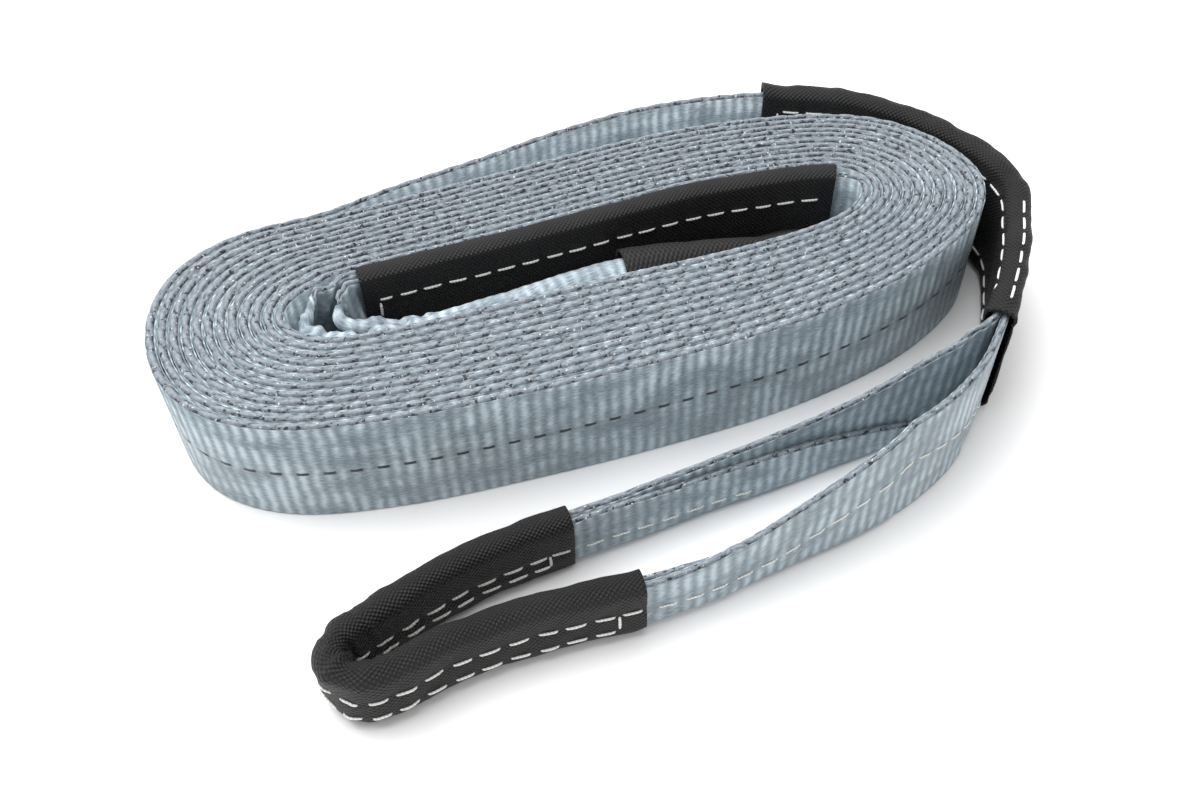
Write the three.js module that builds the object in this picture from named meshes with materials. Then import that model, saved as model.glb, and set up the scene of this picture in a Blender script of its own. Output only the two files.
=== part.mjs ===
// Recovery strap of flat webbing, rolled into an oval coil that lies with the web standing on edge.
// One continuous web has an eye folded and sewn at each end. Four black fabric sleeves cover the two
// splices and the two eye tips. Millimetres, +Z up, the floor is z = 0.
import * as THREE from 'three';
import { mergeVertices } from 'three/addons/utils/BufferGeometryUtils.js';

// Webbing
const webWidth = 50;
const webThickness = 2.9;
const windingGap = 0.4; // between one turn and the next
const turns = 12;
const stepsPerTurn = 48;
const longestStep = 15; // of the web outside the coil
const sharpestStep = 9; // degrees that the web turns in one step there
const finestStep = 1.5;

// Sleeves of woven fabric, slid over the web
const sleeveWall = 1.0;
const sleeveClearance = 0.35; // between a sleeve and the web inside or beside it
const sleeveChamfer = 1.6;
const layerGap = 0.15; // between the two web layers that a splice sews together
const sleeveLift = sleeveWall + sleeveClearance; // a web edge inside a sleeve stands this far off the floor

// Eye legs, where the web is folded in half along its length
const foldedHeight = 25;
const foldedThickness = 6.2;
const innerLegHeight = 44;

// Where the sleeves begin and end, in turns of the coil
const outerSpliceStart = 0.826;
const innerSpliceStart = 11.795;
const innerSpliceEnd = 11.998;
const innerSpliceEase = 0.06; // of a turn, in which the web moves inward to clear the sleeve

// Innermost turn of the coil, anticlockwise from the back left, and the way that the turns outside it
// lie: "out" is the direction in degrees, "slack" is the room that each turn has beyond its thickness.
const core = [
  { x: -86, y: 17.3, out: 100, slack: 0.1 },
  { x: -99, y: 14.5, out: 128, slack: 0.85 },
  { x: -109, y: 9.5, out: 146, slack: 1.24 },
  { x: -114, y: 3, out: 166, slack: 1.25 },
  { x: -114, y: -4, out: 190, slack: 1.2 },
  { x: -108.5, y: -11, out: 211, slack: 1.18 },
  { x: -97, y: -16.5, out: 232, slack: 0.92 },
  { x: -72, y: -18.6, out: 251, slack: 0.8 },
  { x: -36, y: -18.5, out: 264, slack: 0.86 },
  { x: 8, y: -18, out: 273, slack: 0.92 },
  { x: 50, y: -18, out: 284, slack: 0.8 },
  { x: 82, y: -15.8, out: 305, slack: 0.76 },
  { x: 101, y: -11.5, out: 326, slack: 0.96 },
  { x: 110.5, y: -5.5, out: 341, slack: 1.2 },
  { x: 114.3, y: 0.5, out: 358, slack: 1.15 },
  { x: 113.3, y: 7.2, out: 382, slack: 0.7 },
  { x: 105, y: 14, out: 407, slack: 0.4 },
  { x: 84, y: 18.4, out: 432, slack: 0.3 },
  { x: 41, y: 21.7, out: 444, slack: 0.35 },
  { x: -22.5, y: 19, out: 454, slack: 0.32 },
];
const driftStart = 0.8; // share of a turn after which the web moves in to the next one

// Tail along the back of the coil and round its right end: turn of the coil beside it, and the
// distance of its middle from the middle of the outermost turn.
const tailRoute = [
  { turn: 0.975, away: 7.7 },
  { turn: 0.95, away: 11.3 },
  { turn: 0.925, away: 15.8 },
  { turn: 0.9, away: 18 },
  { turn: 0.875, away: 17.6 },
  { turn: 0.85, away: 16 },
  { turn: 0.825, away: 13 },
  { turn: 0.8, away: 10 },
  { turn: 0.775, away: 8 },
  { turn: 0.75, away: 7.2 },
  { turn: 0.725, away: 7.4 },
  { turn: 0.7, away: 9.3 },
  { turn: 0.67, away: 13 },
];
// The splice then leaves the coil, and ends at its mouth: steps from the coil's right shoulder
const shoulderTurn = 0.65;
const spliceRoute = [
  { dx: 7.5, dy: -16 },
  { dx: -3, dy: -33 },
  { dx: -14, dy: -47.5 },
  { dx: -23.5, dy: -58.5 },
];

// Outer eye, as steps from the mouth of the splice: along the front leg, round the tip and back.
// "top" is the height of the web there.
const outerEye = [
  { dx: -6, dy: -8.5, top: 50 },
  { dx: -17, dy: -18.5, top: 50 },
  { dx: -34, dy: -28.5, top: 49 },
  { dx: -51, dy: -34.8, top: 47 },
  { dx: -72, dy: -40.3, top: 42 },
  { dx: -92, dy: -44, top: 36 },
  { dx: -112, dy: -47.6, top: 31 },
  { dx: -130, dy: -50.3, top: 28 },
  { dx: -150, dy: -51.2, top: 26.5 },
  { dx: -175, dy: -50.1, top: 26.5 },
  { dx: -200, dy: -50.4, top: 26.5 },
  { dx: -218, dy: -52.5, top: 26.5 },
  { dx: -232, dy: -56.3, top: 26.5 },
  { dx: -242, dy: -57, top: 26.5 },
  { dx: -249.5, dy: -52.5, top: 26.5 },
  { dx: -251.5, dy: -46, top: 26.5 },
  { dx: -247, dy: -40.2, top: 26.5 },
  { dx: -237, dy: -35.8, top: 26.5 },
  { dx: -225, dy: -31.5, top: 26.5 },
  { dx: -212, dy: -27.2, top: 26.5 },
  { dx: -197, dy: -23.5, top: 26.5 },
  { dx: -180, dy: -21, top: 26.5 },
  { dx: -166, dy: -19.8, top: 26.5 },
  { dx: -150, dy: -18.5, top: 26.5 },
  { dx: -130, dy: -16.5, top: 27 },
  { dx: -110, dy: -14.5, top: 28 },
  { dx: -90, dy: -12.5, top: 29 },
  { dx: -70, dy: -10.5, top: 31 },
  { dx: -50, dy: -8.5, top: 35 },
  { dx: -30, dy: -6, top: 41 },
  { dx: -14, dy: -4, top: 47 },
];
const outerEyeSleeveFrom = 8; // rows of outerEye that the eye sleeve covers
const outerEyeSleeveTo = 22;

// Inner eye, in the bore of the coil: round the bore's left end, along its front, round the eye's
// tip and back to the splice
const innerEye = [
  { x: -92, y: 11.5, top: 49 },
  { x: -101.5, y: 6.5, top: 47 },
  { x: -105.5, y: -0.5, top: 46 },
  { x: -101.5, y: -8, top: 45 },
  { x: -90, y: -12.2, top: 44 },
  { x: -70, y: -13.2, top: 44 },
  { x: -36, y: -12.6, top: 44 },
  { x: -8, y: -11.6, top: 44 },
  { x: 12, y: -10.9, top: 44 },
  { x: 45, y: -10.5, top: 44 },
  { x: 72, y: -9.6, top: 44 },
  { x: 86, y: -7.4, top: 44 },
  { x: 91, y: -3, top: 44 },
  { x: 86, y: 1.4, top: 44 },
  { x: 72, y: 3, top: 44 },
  { x: 45, y: 3, top: 44 },
  { x: 12, y: 1, top: 44 },
  { x: -8, y: -1.6, top: 44 },
  { x: -36, y: -4.6, top: 44 },
  { x: -66, y: -6.6, top: 44 },
  { x: -84, y: -6.2, top: 45 },
  { x: -93, y: -2.6, top: 46 },
  { x: -94.4, y: 2.2, top: 47 },
  { x: -89, y: 6.4, top: 49 },
];
const innerEyeSleeveFrom = 8; // rows of innerEye that the eye sleeve covers
const innerEyeSleeveTo = 16;

const webColour = 0x7d8790;
const sleeveColour = 0x1a1a1b;

const splicePitch = webThickness + layerGap; // middle of one sewn layer to the middle of the other
const sleeveHalf = (splicePitch + webThickness) / 2 + sleeveClearance + sleeveWall;

// A closed curve through points, and its point at a share of the way round
function closedCurve(points) {
  return new THREE.CatmullRomCurve3(points, true, 'catmullrom', 0.5);
}

const coreCurve = closedCurve(core.map((s) => new THREE.Vector3(s.x, s.y, 0)));
const outCurve = closedCurve(core.map((s) => {
  const angle = THREE.MathUtils.degToRad(s.out);
  const pitch = webThickness + s.slack;
  return new THREE.Vector3(Math.cos(angle) * pitch, Math.sin(angle) * pitch, 0);
}));

// Middle of a wound turn, counted from the outside
function onCoil(turn) {
  const around = turn - Math.floor(turn);
  const drift = smooth((around - driftStart) / (1 - driftStart));
  const outward = turns - 1 - Math.floor(turn) - drift;
  return coreCurve.getPoint(around).addScaledVector(outCurve.getPoint(around), outward);
}

// Unit vector square to a wound turn and towards the bore
function inwardAt(turn) {
  const near = 0.25 / stepsPerTurn;
  const run = onCoil(turn + near).sub(onCoil(turn - near)).normalize();
  return new THREE.Vector3(-run.y, run.x, 0);
}

// Middle of a wound turn, moved inward by a distance
function coilPoint(turn, inward = 0) {
  return onCoil(turn).addScaledVector(inwardAt(turn), inward);
}

// Half the thickness of a wound turn: half the way to its neighbour, less the gap
function coilHalf(turn) {
  const across = outCurve.getPoint(turn - Math.floor(turn)).dot(inwardAt(turn));
  return (-across - windingGap) / 2;
}

// Turn reached after a number of steps; the steps are shorter round the ends
function turnAfter(step) {
  const share = (step % stepsPerTurn) / stepsPerTurn;
  return Math.floor(step / stepsPerTurn) + (coreCurve.getUtoTmapping(share) + share) / 2;
}

function smooth(share) {
  return THREE.MathUtils.smoothstep(share, 0, 1);
}

// The rows that the shape needs: those where the web has turned or run on far enough, and the ones
// that a sleeve starts or ends at
function neededRows(rows, stops) {
  const kept = [rows[0]];
  const heading = (i) => {
    const a = rows[Math.max(0, i - 1)];
    const b = rows[Math.min(rows.length - 1, i + 1)];
    return Math.atan2(b.y - a.y, b.x - a.x);
  };
  let last = 0;
  for (let i = 1; i < rows.length; i += 1) {
    const turned = Math.abs(Math.sin((heading(i) - heading(last)) / 2)) * 2;
    const run = Math.hypot(rows[i].x - rows[last].x, rows[i].y - rows[last].y);
    const stop = stops.some((at) => rows[i - 1].at < at && rows[i].at >= at);
    const turnedFar = turned > THREE.MathUtils.degToRad(sharpestStep);
    if (i === rows.length - 1 || stop || turnedFar || run > longestStep) {
      kept.push(rows[i]);
      last = i;
    }
  }
  return kept;
}

// Rows of the web from route points that carry a height: x, y, bottom, top, half thickness
function eyeRows(points, tops, halves, lifts, stops) {
  const curve = new THREE.CatmullRomCurve3(points, false, 'centripetal');
  const count = Math.ceil(curve.getLength() / finestStep);
  const rows = [];
  for (let i = 0; i <= count; i += 1) {
    const share = curve.getUtoTmapping(i / count);
    const at = share * (points.length - 1);
    const k = Math.min(points.length - 2, Math.floor(at));
    const mix = at - k;
    const blend = (list) => THREE.MathUtils.lerp(list[k], list[k + 1], mix);
    const p = curve.getPoint(share);
    rows.push({ x: p.x, y: p.y, low: blend(lifts), top: blend(tops), half: blend(halves), at });
  }
  return neededRows(rows, stops);
}

// Offsets a row sideways; a positive distance is to the left of the way that the rows run
function shifted(rows, distance) {
  return rows.map((row, i) => {
    const a = rows[Math.max(0, i - 1)];
    const b = rows[Math.min(rows.length - 1, i + 1)];
    const length = Math.hypot(b.x - a.x, b.y - a.y);
    const nx = -(b.y - a.y) / length;
    const ny = (b.x - a.x) / length;
    return { ...row, x: row.x + nx * distance, y: row.y + ny * distance };
  });
}

// Thickness of the web where it is folded: thicker as it gets lower
function halfAtTop(top) {
  const folded = THREE.MathUtils.clamp((webWidth - top) / (webWidth - foldedHeight - sleeveLift), 0, 1);
  return THREE.MathUtils.lerp(webThickness, foldedThickness, folded) / 2;
}

// Wound turns, from the outside in
const coilRows = [];
const innerTurns = []; // the rest of the innermost turn, which lies in the inner splice
for (let step = 0; turnAfter(step) < innerSpliceEnd; step += 1) {
  const turn = turnAfter(step);
  if (turn < innerSpliceStart - innerSpliceEase) {
    const p = coilPoint(turn);
    coilRows.push({ x: p.x, y: p.y, low: 0, top: webWidth, half: coilHalf(turn) });
  } else {
    innerTurns.push(turn);
  }
}

// Tail and outer splice, from the coil to the mouth
const shoulder = coilPoint(shoulderTurn);
const tailPoints = [coilPoint(0.05), coilPoint(0)];
for (const stop of tailRoute) {
  tailPoints.push(coilPoint(stop.turn, -stop.away));
}
for (const stop of spliceRoute) {
  tailPoints.push(new THREE.Vector3(shoulder.x + stop.dx, shoulder.y + stop.dy, 0));
}
const tailCurve = new THREE.CatmullRomCurve3(tailPoints, false, 'centripetal');
const spliceFirst = tailRoute.findIndex((stop) => stop.turn < outerSpliceStart) + 1;
const tailLast = tailPoints.length - 1;
const tailRows = [];
const spineRows = [];
const tailFine = [];
const tailSteps = Math.ceil(tailCurve.getLength() / finestStep);
for (let i = 1; i <= tailSteps; i += 1) {
  const at = 1 + (i / tailSteps) * (tailLast - 1);
  const p = tailCurve.getPoint(at / tailLast);
  const inside = smooth((at - spliceFirst + 1.2) / 1.2);
  const row = { x: p.x, y: p.y, low: sleeveLift * inside, half: webThickness / 2, at };
  row.top = row.low + webWidth;
  tailFine.push(row);
}
tailRows.push(...neededRows(tailFine, [spliceFirst]));
for (const row of tailRows) {
  if (row.at >= spliceFirst) {
    spineRows.push(row);
  }
}

// The main layer runs outside the spine of the splice, and the returned layer inside it
const easeOut = tailRows.map((row) => smooth((row.at - spliceFirst + 1.2) / 1.2));
const mainSide = shifted(tailRows, splicePitch / 2);
const mainLayer = tailRows.map((row, i) => ({
  ...row,
  x: THREE.MathUtils.lerp(row.x, mainSide[i].x, easeOut[i]),
  y: THREE.MathUtils.lerp(row.y, mainSide[i].y, easeOut[i]),
}));
const returnedLayer = shifted(spineRows, -splicePitch / 2).slice(2);

// Outer eye between the two layers at the mouth
const mouth = spineRows[spineRows.length - 1];
const frontStart = mainLayer[mainLayer.length - 1];
const backEnd = returnedLayer[returnedLayer.length - 1];
const outerPoints = [new THREE.Vector3(frontStart.x, frontStart.y, 0)];
const outerTops = [frontStart.top];
const outerLifts = [sleeveLift];
outerEye.forEach((stop, i) => {
  const covered = i >= outerEyeSleeveFrom - 1 && i <= outerEyeSleeveTo + 1;
  outerPoints.push(new THREE.Vector3(mouth.x + stop.dx, mouth.y + stop.dy, 0));
  outerTops.push(stop.top);
  outerLifts.push(covered || i === 0 || i === outerEye.length - 1 ? sleeveLift : 0);
});
outerPoints.push(new THREE.Vector3(backEnd.x, backEnd.y, 0));
outerTops.push(backEnd.top);
outerLifts.push(sleeveLift);
const outerStops = [outerEyeSleeveFrom + 1, outerEyeSleeveTo + 1];
const outerRows = eyeRows(outerPoints, outerTops, outerTops.map(halfAtTop), outerLifts, outerStops);

// Inner splice: the last part of the innermost turn beside the turn outside it, and the returned layer
const innerMain = [];
const innerSpine = [];
for (const turn of innerTurns) {
  const inside = smooth((turn - innerSpliceStart + innerSpliceEase) / innerSpliceEase);
  const neighbourFace = coilHalf(turn - 1);
  const plain = neighbourFace + windingGap + coilHalf(turn);
  const mainAway = neighbourFace + sleeveWall + 2 * sleeveClearance + webThickness / 2;
  const p = coilPoint(turn - 1, THREE.MathUtils.lerp(plain, mainAway, inside));
  const half = THREE.MathUtils.lerp(coilHalf(turn), webThickness / 2, inside);
  const low = sleeveLift * inside;
  innerMain.push({ x: p.x, y: p.y, low, top: webWidth + low, half });
  if (turn >= innerSpliceStart) {
    const q = coilPoint(turn - 1, mainAway + splicePitch / 2);
    innerSpine.push({ x: q.x, y: q.y, low, top: webWidth + low, half: webThickness / 2 });
  }
}
const innerReturned = shifted(innerSpine, splicePitch / 2).slice(1);

// Inner eye between the two layers at the left end of the splice
const legStart = innerMain[innerMain.length - 1];
const legEnd = innerReturned[innerReturned.length - 1];
const innerPoints = [new THREE.Vector3(legStart.x, legStart.y, 0)];
const innerTops = [legStart.top];
const innerLifts = [sleeveLift];
innerEye.forEach((stop, i) => {
  const covered = i >= innerEyeSleeveFrom - 1 && i <= innerEyeSleeveTo + 1;
  innerPoints.push(new THREE.Vector3(stop.x, stop.y, 0));
  innerTops.push(Math.max(stop.top, innerLegHeight));
  innerLifts.push(covered || i === 0 || i === innerEye.length - 1 ? sleeveLift : 0);
});
innerPoints.push(new THREE.Vector3(legEnd.x, legEnd.y, 0));
innerTops.push(legEnd.top);
innerLifts.push(sleeveLift);
const innerHalves = innerTops.map(() => webThickness / 2);
const innerStops = [innerEyeSleeveFrom + 1, innerEyeSleeveTo + 1];
const innerRows = eyeRows(innerPoints, innerTops, innerHalves, innerLifts, innerStops);

// The web from the returned end of the outer eye to the returned end of the inner eye
const webRows = [
  ...returnedLayer,
  ...outerRows.slice(1, -1).reverse(),
  ...mainLayer.slice().reverse(),
  ...coilRows,
  ...innerMain,
  ...innerRows.slice(1, -1),
  ...innerReturned.slice().reverse(),
];

// Triangles of a closed body from rings of points that all have the same count
function loftGeometry(rings, closedSection) {
  const count = rings[0].length;
  const positions = rings.flat();
  const index = [];
  for (let i = 0; i < rings.length - 1; i += 1) {
    for (let k = 0; k < count; k += 1) {
      const next = (k + 1) % count;
      const a = i * count + k;
      const b = i * count + next;
      index.push(a, b, b + count, a, b + count, a + count);
    }
  }
  for (const end of [0, rings.length - 1]) {
    for (const [a, b, c] of closedSection) {
      const face = [end * count + a, end * count + b, end * count + c];
      index.push(...(end === 0 ? face.reverse() : face));
    }
  }
  const geometry = new THREE.BufferGeometry();
  geometry.setAttribute('position', new THREE.Float32BufferAttribute(positions.flat(), 3));
  geometry.setIndex(index);
  return facingOut(mergeVertices(geometry, 1e-4));
}

// Turns the faces round if they point inward
function facingOut(geometry) {
  const p = geometry.getAttribute('position');
  const index = geometry.getIndex();
  const a = new THREE.Vector3();
  const b = new THREE.Vector3();
  const c = new THREE.Vector3();
  let volume = 0;
  for (let i = 0; i < index.count; i += 3) {
    a.fromBufferAttribute(p, index.getX(i));
    b.fromBufferAttribute(p, index.getX(i + 1));
    c.fromBufferAttribute(p, index.getX(i + 2));
    volume += a.dot(b.cross(c));
  }
  if (volume < 0) {
    for (let i = 0; i < index.count; i += 3) {
      const first = index.getX(i);
      index.setX(i, index.getX(i + 2));
      index.setX(i + 2, first);
    }
  }
  return geometry;
}

// Sideways direction at each row
function normals(rows) {
  return rows.map((row, i) => {
    const a = rows[Math.max(0, i - 1)];
    const b = rows[Math.min(rows.length - 1, i + 1)];
    const length = Math.hypot(b.x - a.x, b.y - a.y);
    return { x: -(b.y - a.y) / length, y: (b.x - a.x) / length };
  });
}

// Web of rectangular section along rows
function webGeometry(rows) {
  const side = normals(rows);
  const rings = rows.map((row, i) => [[1, 0], [1, 1], [-1, 1], [-1, 0]].map(([across, up]) => [
    row.x + side[i].x * row.half * across,
    row.y + side[i].y * row.half * across,
    up ? row.top : row.low,
  ]));
  return loftGeometry(rings, [[0, 1, 2], [0, 2, 3]]);
}

// Tube of flat oval section round what lies inside it
function sleeveGeometry(rows, insideHalf) {
  const side = normals(rows);
  const section = (half, low, top, chamfer) => [
    [half, low + chamfer], [half, top - chamfer], [half - chamfer, top], [chamfer - half, top],
    [-half, top - chamfer], [-half, low + chamfer], [chamfer - half, low], [half - chamfer, low],
  ];
  const rings = rows.map((row, i) => {
    const half = (insideHalf === undefined ? row.half : insideHalf) + sleeveClearance;
    const low = row.low - sleeveClearance;
    const top = row.top + sleeveClearance;
    const inner = section(half, low, top, sleeveClearance * 0.5);
    const outer = section(half + sleeveWall, low - sleeveWall, top + sleeveWall, sleeveChamfer);
    return [...outer, ...inner].map(([across, z]) => [
      row.x + side[i].x * across,
      row.y + side[i].y * across,
      z,
    ]);
  });
  const count = 8;
  const positions = rings.flat();
  const index = [];
  for (let i = 0; i < rings.length - 1; i += 1) {
    for (let k = 0; k < count; k += 1) {
      const next = (k + 1) % count;
      const a = i * 2 * count + k;
      const b = i * 2 * count + next;
      const step = 2 * count;
      index.push(a, b, b + step, a, b + step, a + step);
      index.push(a + count, b + step + count, b + count, a + count, a + step + count, b + step + count);
    }
  }
  for (const end of [0, rings.length - 1]) {
    for (let k = 0; k < count; k += 1) {
      const next = (k + 1) % count;
      const base = end * 2 * count;
      const faces = [
        [base + k, base + k + count, base + next + count],
        [base + k, base + next + count, base + next],
      ];
      for (const face of faces) {
        index.push(...(end === 0 ? face : face.reverse()));
      }
    }
  }
  const geometry = new THREE.BufferGeometry();
  geometry.setAttribute('position', new THREE.Float32BufferAttribute(positions.flat(), 3));
  geometry.setIndex(index);
  return facingOut(mergeVertices(geometry, 1e-4));
}

const webMaterial = new THREE.MeshStandardMaterial({ color: webColour, roughness: 0.62, metalness: 0 });
const sleeveMaterial = new THREE.MeshStandardMaterial({ color: sleeveColour, roughness: 0.75, metalness: 0 });

const strap = new THREE.Group();

function addPiece(name, geometry, material) {
  const mesh = new THREE.Mesh(geometry, material);
  mesh.name = name;
  strap.add(mesh);
}

const spliceHalf = (splicePitch + webThickness) / 2;
const outerCovered = outerRows.filter((row) => row.at >= outerStops[0] && row.at <= outerStops[1] + 0.2);
const innerCovered = innerRows.filter((row) => row.at >= innerStops[0] && row.at <= innerStops[1] + 0.2);

addPiece('webbing', webGeometry(webRows), webMaterial);
addPiece('outer_splice_sleeve', sleeveGeometry(spineRows, spliceHalf), sleeveMaterial);
addPiece('outer_eye_sleeve', sleeveGeometry(outerCovered), sleeveMaterial);
addPiece('inner_splice_sleeve', sleeveGeometry(innerSpine, spliceHalf), sleeveMaterial);
addPiece('inner_eye_sleeve', sleeveGeometry(innerCovered), sleeveMaterial);

// The origin is the middle of the whole outline on the floor
const bounds = new THREE.Box3().setFromObject(strap);
const middle = bounds.getCenter(new THREE.Vector3());
strap.position.set(-middle.x, -middle.y, -bounds.min.z);

export default strap;
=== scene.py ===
# Recovery strap, rolled into an oval coil with its outer eye lying free in front of it.
# Lengths in the dictionaries are millimetres in the coil's own frame: X along the coil's long side,
# Z up from the floor. place() turns them into the model's metres.
import math

import bpy
import numpy as np
from mathutils import Matrix


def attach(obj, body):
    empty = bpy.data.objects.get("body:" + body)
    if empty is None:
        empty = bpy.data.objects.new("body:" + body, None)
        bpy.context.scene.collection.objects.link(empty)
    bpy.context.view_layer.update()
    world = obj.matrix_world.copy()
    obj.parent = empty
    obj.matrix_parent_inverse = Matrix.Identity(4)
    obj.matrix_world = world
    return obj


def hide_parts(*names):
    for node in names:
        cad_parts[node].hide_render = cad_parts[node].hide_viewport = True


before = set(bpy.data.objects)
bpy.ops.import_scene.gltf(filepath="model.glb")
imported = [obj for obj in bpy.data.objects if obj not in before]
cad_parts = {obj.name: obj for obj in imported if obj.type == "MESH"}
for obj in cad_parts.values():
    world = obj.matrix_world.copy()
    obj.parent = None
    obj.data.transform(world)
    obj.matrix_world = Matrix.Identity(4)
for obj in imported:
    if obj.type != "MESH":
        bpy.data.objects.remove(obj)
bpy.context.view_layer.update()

mm = 0.001
coilOrigin = np.array([-6.1002, 32.621, 0.0])  # where the coil's own frame starts in the model
print("frame loaded")


def place(points):
    # model point = (coil point + origin of the coil's frame) in metres
    return (np.asarray(points, float) + coilOrigin) * mm


# Camera and light, first, so that every later stage can be looked at from the photograph's place

view = {
    "position": (-91.393, -330.355, 372.263),
    "heading": 16.14,  # degrees right of +Y
    "down": 50.183,
    "roll": -1.33,
    "lens": 37.5,
    "sensor": 36.0,
}


def frameOf(x, y, z, at):
    # matrix whose columns are three axes and a place
    rows = [[float(column[k]) for column in (x, y, z, at)] for k in range(3)]
    return Matrix(rows + [[0, 0, 0, 1]])


def addCamera():
    # axes: forward from heading and downward tilt, then right and up turned by the roll about it
    a, e, r = (math.radians(view[k]) for k in ("heading", "down", "roll"))
    forward = np.array([math.sin(a) * math.cos(e), math.cos(a) * math.cos(e), -math.sin(e)])
    level = np.array([math.cos(a), -math.sin(a), 0.0])
    above = np.array([math.sin(a) * math.sin(e), math.cos(a) * math.sin(e), math.cos(e)])
    right = math.cos(r) * level + math.sin(r) * above
    up = math.cos(r) * above - math.sin(r) * level
    data = bpy.data.cameras.new("camera")
    data.lens = view["lens"]
    data.sensor_width = view["sensor"]
    camera = bpy.data.objects.new("camera", data)
    bpy.context.scene.collection.objects.link(camera)
    at = place(view["position"])
    camera.matrix_world = frameOf(right, up, -forward, at)
    bpy.context.scene.camera = camera


studio = {
    "worldStrength": 0.72,
    "softboxPower": 26.0,
    "softboxSize": 1.3,
    "softboxAt": (-0.25, 0.35, 1.15),
    "floorSize": 6.0,
    "floorColour": (0.93, 0.93, 0.93, 1),
}


def addStudio():
    scene = bpy.context.scene
    scene.view_settings.view_transform = "Standard"
    world = bpy.data.worlds.new("studio")
    scene.world = world
    world.use_nodes = True
    background = world.node_tree.nodes["Background"]
    background.inputs["Color"].default_value = (1, 1, 1, 1)
    background.inputs["Strength"].default_value = studio["worldStrength"]
    light = bpy.data.lights.new("softbox", "AREA")
    light.energy = studio["softboxPower"]
    light.size = studio["softboxSize"]
    lamp = bpy.data.objects.new("softbox", light)
    scene.collection.objects.link(lamp)
    at = np.array(studio["softboxAt"])
    back = at / np.linalg.norm(at)
    side = np.cross([0, 1, 0], back)
    side /= np.linalg.norm(side)
    lamp.matrix_world = frameOf(side, np.cross(back, side), back, at)
    half = studio["floorSize"] / 2
    mesh = bpy.data.meshes.new("floor")
    corners = [(-half, -half, 0), (half, -half, 0), (half, half, 0), (-half, half, 0)]
    mesh.from_pydata(corners, [], [(0, 1, 2, 3)])
    floor = bpy.data.objects.new("floor", mesh)
    scene.collection.objects.link(floor)
    paper = bpy.data.materials.new("floor paper")
    paper.use_nodes = True
    shader = paper.node_tree.nodes["Principled BSDF"]
    shader.inputs["Base Color"].default_value = studio["floorColour"]
    shader.inputs["Roughness"].default_value = 0.9
    mesh.materials.append(paper)


addCamera()
addStudio()
print("camera and studio placed")


# Curves and meshes


def smooth(share):
    # 3 x^2 - 2 x^3, held at 0 and 1 outside the range 0 to 1
    x = np.clip(share, 0, 1)
    return x * x * (3 - 2 * x)


def ripple(s, seed, length):
    # sum of four sines of unlike lengths, about -1 to 1: a smooth wander that is the same each run
    s = np.asarray(s, float)
    turns = np.array([1.0, 1.73, 2.91, 4.37])
    shifts = np.array([0.7, 2.1, 4.2, 5.5]) * (seed + 1.37)
    sizes = np.array([0.45, 0.3, 0.16, 0.09])
    return (np.sin(2 * np.pi * s[..., None] * turns / length + shifts) * sizes).sum(-1)


def closedSpline(points, u):
    # between points B and C at t, half of 2 B + (C - A) t + (2 A - 5 B + 4 C - D) t^2
    # + (3 B - A - 3 C + D) t^3, where A is the point before and D the point after
    points = np.asarray(points, float)
    count = len(points)
    at = (np.asarray(u, float) % 1.0) * count
    k = np.floor(at).astype(int)
    t = (at - k)[:, None]
    a, b, c, d = (points[(k + i) % count] for i in (-1, 0, 1, 2))
    return 0.5 * (2 * b + (c - a) * t + (2 * a - 5 * b + 4 * c - d) * t**2 + (3 * b - a - 3 * c + d) * t**3)


def openSpline(points):
    # cubic through the points whose knots are the root of their distance apart in plan; all columns are
    # carried along, and a last column counts the points passed
    p = np.asarray(points, float)
    gap = np.sqrt(np.linalg.norm(np.diff(p[:, :2], axis=0), axis=1))
    knot = np.concatenate([[0], np.cumsum(gap)])
    slope = np.diff(p, axis=0) / gap[:, None]
    tangent = np.empty_like(p)
    tangent[0], tangent[-1] = slope[0], slope[-1]
    w = (gap[:-1] / (gap[:-1] + gap[1:]))[:, None]
    tangent[1:-1] = slope[:-1] * (1 - w) + slope[1:] * w
    fine = np.linspace(0, knot[-1], 60 * len(p))
    k = np.clip(np.searchsorted(knot, fine, side="right") - 1, 0, len(p) - 2)
    g = gap[k][:, None]
    t = ((fine - knot[k]) / gap[k])[:, None]
    rows = ((2 * t**3 - 3 * t**2 + 1) * p[k] + (t**3 - 2 * t**2 + t) * g * tangent[k]
            + (3 * t**2 - 2 * t**3) * p[k + 1] + (t**3 - t**2) * g * tangent[k + 1])
    return np.column_stack([rows, k + t[:, 0]])


def lengthsOf(rows):
    # distance in plan from the first row
    return np.concatenate([[0], np.cumsum(np.linalg.norm(np.diff(rows[:, :2], axis=0), axis=1))])


def evenRows(rows, step):
    s = lengthsOf(rows)
    at = np.linspace(0, s[-1], max(2, int(round(s[-1] / step)) + 1))
    return np.column_stack([np.interp(at, s, rows[:, c]) for c in range(rows.shape[1])])


def sideways(xy):
    # unit vector square to the path, to the left of its way
    run = np.gradient(xy, axis=0)
    run /= np.linalg.norm(run, axis=1)[:, None]
    return np.column_stack([-run[:, 1], run[:, 0]])


def standUp(xy, left, section):
    # section holds (distance to the left, height) for each row and ring point
    flat = xy[:, None, :] + left[:, None, :] * section[..., :1]
    return np.concatenate([flat, section[..., 1:]], -1)


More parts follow.
